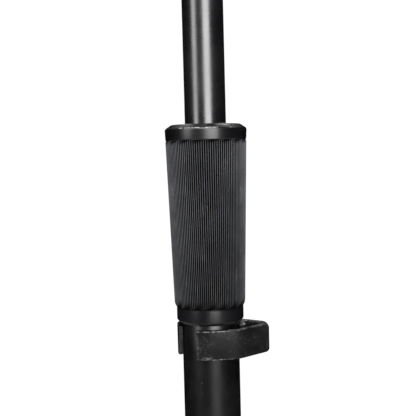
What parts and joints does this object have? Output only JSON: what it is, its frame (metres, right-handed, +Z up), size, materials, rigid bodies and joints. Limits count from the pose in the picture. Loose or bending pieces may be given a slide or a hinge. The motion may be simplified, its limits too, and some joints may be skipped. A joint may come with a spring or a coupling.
{
  "type": "music stand",
  "caption": "Orchestral music stand: folding tripod, two-tube mast with a ribbed twist clutch and cable clip, and a tilting desk with a shelf.",
  "frame": {"origin": "centre of the mast's foot, on the floor", "axes": "+Z up the mast, -Y towards the reader, +X to the reader's right as seen by the reader"},
  "size_m": [0.5248, 0.4544, 1.2183],
  "materials": {
    "black_tube": "semi-gloss black paint",
    "black_satin": "satin black powder coat",
    "black_cast": "fine textured black paint",
    "grip_rubber": "matt ribbed rubber",
    "gloss_black": "polished moulding",
    "matt_plastic": "scuffed moulding",
    "nylon": "natural nylon",
    "rubber": "matt",
    "felt": "pressed felt",
    "zinc": "zinc plated",
    "dark_bolt": "blackened"
  },
  "bodies": {
    "base": {"foot_plug": "rubber", "lower_tube": "black_satin", "base_hub": "black_cast", "leg_pin_1": "zinc", "leg_pin_2": "zinc", "leg_pin_3": "zinc", "thread_insert": "zinc", "thrust_ring": "zinc", "collet": "nylon"},
    "clamp_knob": {"hub_knob": "matt_plastic"},
    "front_leg": {"leg_1": "black_cast", "foot_1": "rubber"},
    "right_leg": {"leg_2": "black_cast", "foot_2": "rubber"},
    "left_leg": {"leg_3": "black_cast", "foot_3": "rubber"},
    "clip": {"cable_clip": "matt_plastic"},
    "grip": {"grip_core": "gloss_black", "grip_sleeve": "grip_rubber", "top_collar": "gloss_black", "wiper_ring": "felt"},
    "guide": {"guide_bush": "nylon"},
    "mast": {"upper_tube": "black_tube", "head_block": "black_cast", "head_screw": "dark_bolt", "friction_washer_left": "nylon", "friction_washer_right": "nylon"},
    "desk": {"bracket": "black_cast", "pivot_bolt": "dark_bolt", "knob_washer": "zinc", "desk_panel": "black_satin", "desk_shelf": "black_satin", "desk_rivet_1": "dark_bolt", "desk_rivet_2": "dark_bolt", "desk_rivet_3": "dark_bolt", "desk_rivet_4": "dark_bolt", "shelf_rivet_1": "dark_bolt", "shelf_rivet_2": "dark_bolt", "shelf_rivet_3": "dark_bolt", "shelf_rivet_4": "dark_bolt"},
    "tilt_hand_knob": {"tilt_knob": "matt_plastic"}
  },
  "joints": [
    {"name": "front_leg_fold", "type": "hinge", "parent": "base", "child": "front_leg", "pos_m": [0, -0.024, 0.075], "axis": [1, 0, 0], "range_deg": [0, 76]},
    {"name": "right_leg_fold", "type": "hinge", "parent": "base", "child": "right_leg", "pos_m": [0.02079, 0.012, 0.075], "axis": [-0.5, 0.866, 0], "range_deg": [0, 76]},
    {"name": "left_leg_fold", "type": "hinge", "parent": "base", "child": "left_leg", "pos_m": [-0.02079, 0.012, 0.075], "axis": [-0.5, -0.866, 0], "range_deg": [0, 76]},
    {"name": "clamp_knob_turn", "type": "hinge", "parent": "base", "child": "clamp_knob", "pos_m": [0, 0.048, 0.075], "axis": [0, 1, 0], "range_deg": [0, 360]},
    {"name": "clip_turn", "type": "hinge", "parent": "base", "child": "clip", "pos_m": [0, 0, 0.5932], "axis": [0, 0, 1], "continuous": true},
    {"name": "grip_twist", "type": "hinge", "parent": "base", "child": "grip", "pos_m": [0, 0, 0.638], "axis": [0, 0, 1], "range_deg": [0, 90]},
    {"name": "mast_slide", "type": "slide", "parent": "base", "child": "guide", "axis": [0, 0, 1], "range_m": [-0.25, 0.25]},
    {"name": "mast_swivel", "type": "hinge", "parent": "guide", "child": "mast", "pos_m": [0, 0, 0.6], "axis": [0, 0, 1], "continuous": true},
    {"name": "desk_tilt", "type": "hinge", "parent": "mast", "child": "desk", "pos_m": [0, 0, 1.018], "axis": [-1, 0, 0], "range_deg": [-20, 70]},
    {"name": "tilt_knob_turn", "type": "hinge", "parent": "desk", "child": "tilt_hand_knob", "pos_m": [0.023, 0, 1.018], "axis": [1, 0, 0], "range_deg": [0, 360]}
  ]
}
